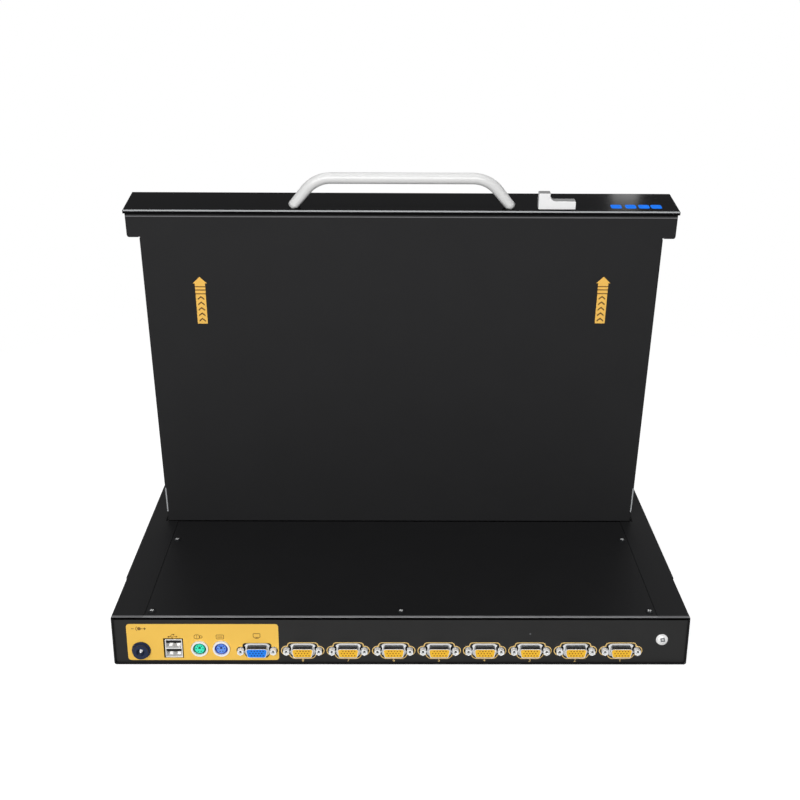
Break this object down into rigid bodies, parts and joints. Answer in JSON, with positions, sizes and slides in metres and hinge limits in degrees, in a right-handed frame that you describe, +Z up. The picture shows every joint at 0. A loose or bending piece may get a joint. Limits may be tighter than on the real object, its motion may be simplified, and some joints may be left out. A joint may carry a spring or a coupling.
{
  "type": "lcd kvm console",
  "caption": "Rack console drawer: a flat chassis with a row of video ports at its rear, a keyboard drawer on ball slides and a hinged flat screen with a bar handle.",
  "frame": {"origin": "centre of the chassis footprint, on its underside", "axes": "+X to the user's right, -Y towards the user, +Z up; the port panel faces +Y"},
  "size_m": [0.4826, 0.469, 0.3559],
  "materials": {
    "black_steel": "black powder coat on folded steel sheet",
    "panel_steel": "satin black paint on steel sheet",
    "lid_steel": "dark satin powder coat on folded steel sheet",
    "bezel_black": "glossy black moulded plastic",
    "handle_white": "white painted round steel bar",
    "latch_white": "off-white moulded plastic",
    "zinc_steel": "bright zinc plated rolled steel",
    "black_screw": "blackened steel",
    "white_screw": "white painted steel",
    "plated_shell": "nickel plated pressed steel",
    "yellow_brass": "turned brass",
    "green_board": "glass fibre circuit board with solder mask",
    "navy_plastic": "dark blue moulded plastic",
    "white_plastic": "white moulded plastic",
    "mint_plastic": "mint green moulded plastic",
    "blue_plastic": "blue moulded plastic",
    "console_blue": "bright blue moulded plastic",
    "port_yellow": "amber yellow moulded plastic",
    "deck_black": "black textured moulded plastic",
    "key_black": "dark grey moulded plastic",
    "key_grey": "grey moulded plastic",
    "button_grey": "grey moulded plastic",
    "membrane": "moulded silicone sheet",
    "screen_glass": "dark flat panel with polariser film",
    "frame_black": "black textured moulded plastic"
  },
  "bodies": {
    "chassis": {"chassis_pan": "black_steel", "rear_panel": "panel_steel", "top_cover": "black_steel", "cover_screws": "black_screw", "ground_screw": "white_screw", "rack_bracket_left": "black_steel", "rack_bracket_right": "black_steel", "bracket_screws": "black_screw", "slide_outer_left": "zinc_steel", "slide_outer_right": "zinc_steel", "bulkhead": "zinc_steel", "switch_board": "green_board", "board_standoffs": "yellow_brass", "dc_jack": "navy_plastic", "usb_shell": "plated_shell", "usb_tongues": "white_plastic", "mouse_socket": "mint_plastic", "keyboard_socket": "blue_plastic", "socket_shields": "plated_shell", "console_vga_insert": "console_blue", "port_vga_inserts": "port_yellow", "vga_shells": "plated_shell", "jackscrews": "plated_shell"},
    "slide_middles": {"slide_middle_left": "zinc_steel", "slide_middle_right": "zinc_steel"},
    "outer_cages": {"outer_ball_cages": "yellow_brass"},
    "inner_cages": {"inner_ball_cages": "yellow_brass"},
    "drawer": {"drawer_tray": "black_steel", "slide_inner_left": "zinc_steel", "slide_inner_right": "zinc_steel", "keyboard_deck": "deck_black", "key_plate": "zinc_steel", "key_membrane": "membrane", "touchpad": "button_grey", "hinge_bracket_left": "zinc_steel", "hinge_bracket_right": "zinc_steel"},
    "lid": {"lid_shell": "lid_steel", "screen_frame": "frame_black", "lcd_panel": "screen_glass", "driver_board": "green_board", "front_bezel": "bezel_black", "handle": "handle_white", "bezel_screws": "zinc_steel", "hinge_leaf_left": "zinc_steel", "hinge_leaf_right": "zinc_steel"},
    "function_keys": {"function_keys": "key_grey"},
    "number_keys": {"number_keys": "key_black"},
    "letter_keys": {"letter_keys": "key_black"},
    "modifier_keys": {"modifier_keys": "key_grey"},
    "space_bar": {"space_bar": "key_black"},
    "number_pad_keys": {"number_pad_keys": "key_black"},
    "touch_button_left": {"touch_button_left": "button_grey"},
    "touch_button_right": {"touch_button_right": "button_grey"},
    "port_up_button": {"port_up_button": "button_grey"},
    "port_down_button": {"port_down_button": "button_grey"},
    "latch": {"latch": "latch_white"},
    "power_button": {"power_button": "button_grey"},
    "menu_button": {"menu_button": "button_grey"},
    "plus_button": {"plus_button": "button_grey"},
    "minus_button": {"minus_button": "button_grey"}
  },
  "joints": [
    {"name": "drawer_slide", "type": "slide", "parent": "chassis", "child": "drawer", "axis": [0, -1, 0], "range_m": [0, 0.3]},
    {"name": "middle_slide", "type": "slide", "parent": "chassis", "child": "slide_middles", "axis": [0, -1, 0], "range_m": [0, 0.15]},
    {"name": "outer_cage_slide", "type": "slide", "parent": "chassis", "child": "outer_cages", "axis": [0, -1, 0], "range_m": [0, 0.075]},
    {"name": "inner_cage_slide", "type": "slide", "parent": "chassis", "child": "inner_cages", "axis": [0, -1, 0], "range_m": [0, 0.225]},
    {"name": "lid_hinge", "type": "hinge", "parent": "drawer", "child": "lid", "pos_m": [0, 0.0587, 0.0341], "axis": [-1, 0, 0], "range_deg": [-98.3, 9.7]},
    {"name": "function_keys_press", "type": "slide", "parent": "drawer", "child": "function_keys", "axis": [0, 0, -1], "range_m": [0, 0.0025], "stiffness_N_per_m": 600, "springref_m": -0.003},
    {"name": "number_keys_press", "type": "slide", "parent": "drawer", "child": "number_keys", "axis": [0, 0, -1], "range_m": [0, 0.0025], "stiffness_N_per_m": 600, "springref_m": -0.003},
    {"name": "letter_keys_press", "type": "slide", "parent": "drawer", "child": "letter_keys", "axis": [0, 0, -1], "range_m": [0, 0.0025], "stiffness_N_per_m": 600, "springref_m": -0.003},
    {"name": "modifier_keys_press", "type": "slide", "parent": "drawer", "child": "modifier_keys", "axis": [0, 0, -1], "range_m": [0, 0.0025], "stiffness_N_per_m": 600, "springref_m": -0.003},
    {"name": "space_bar_press", "type": "slide", "parent": "drawer", "child": "space_bar", "axis": [0, 0, -1], "range_m": [0, 0.0025], "stiffness_N_per_m": 600, "springref_m": -0.003},
    {"name": "number_pad_keys_press", "type": "slide", "parent": "drawer", "child": "number_pad_keys", "axis": [0, 0, -1], "range_m": [0, 0.0025], "stiffness_N_per_m": 600, "springref_m": -0.003},
    {"name": "touch_button_left_press", "type": "slide", "parent": "drawer", "child": "touch_button_left", "axis": [0, 0, -1], "range_m": [0, 0.0008], "stiffness_N_per_m": 300, "springref_m": -0.0015},
    {"name": "touch_button_right_press", "type": "slide", "parent": "drawer", "child": "touch_button_right", "axis": [0, 0, -1], "range_m": [0, 0.0008], "stiffness_N_per_m": 300, "springref_m": -0.0015},
    {"name": "port_up_button_press", "type": "slide", "parent": "drawer", "child": "port_up_button", "axis": [0, 0, -1], "range_m": [0, 0.0008], "stiffness_N_per_m": 300, "springref_m": -0.0015},
    {"name": "port_down_button_press", "type": "slide", "parent": "drawer", "child": "port_down_button", "axis": [0, 0, -1], "range_m": [0, 0.0008], "stiffness_N_per_m": 300, "springref_m": -0.0015},
    {"name": "power_button_press", "type": "slide", "parent": "lid", "child": "power_button", "axis": [0, 0.9895, -0.1444], "range_m": [0, 0.0007], "stiffness_N_per_m": 300, "springref_m": -0.001},
    {"name": "menu_button_press", "type": "slide", "parent": "lid", "child": "menu_button", "axis": [0, 0.9895, -0.1444], "range_m": [0, 0.0007], "stiffness_N_per_m": 300, "springref_m": -0.001},
    {"name": "plus_button_press", "type": "slide", "parent": "lid", "child": "plus_button", "axis": [0, 0.9895, -0.1444], "range_m": [0, 0.0007], "stiffness_N_per_m": 300, "springref_m": -0.001},
    {"name": "minus_button_press", "type": "slide", "parent": "lid", "child": "minus_button", "axis": [0, 0.9895, -0.1444], "range_m": [0, 0.0007], "stiffness_N_per_m": 300, "springref_m": -0.001},
    {"name": "latch_slide", "type": "slide", "parent": "lid", "child": "latch", "axis": [1, 0, 0], "range_m": [0, 0.006], "stiffness_N_per_m": 150, "springref_m": -0.01}
  ],
  "couplings": [
    {"joint": "middle_slide", "follows": "drawer_slide", "ratio": 0.5},
    {"joint": "outer_cage_slide", "follows": "drawer_slide", "ratio": 0.25},
    {"joint": "inner_cage_slide", "follows": "drawer_slide", "ratio": 0.75}
  ]
}
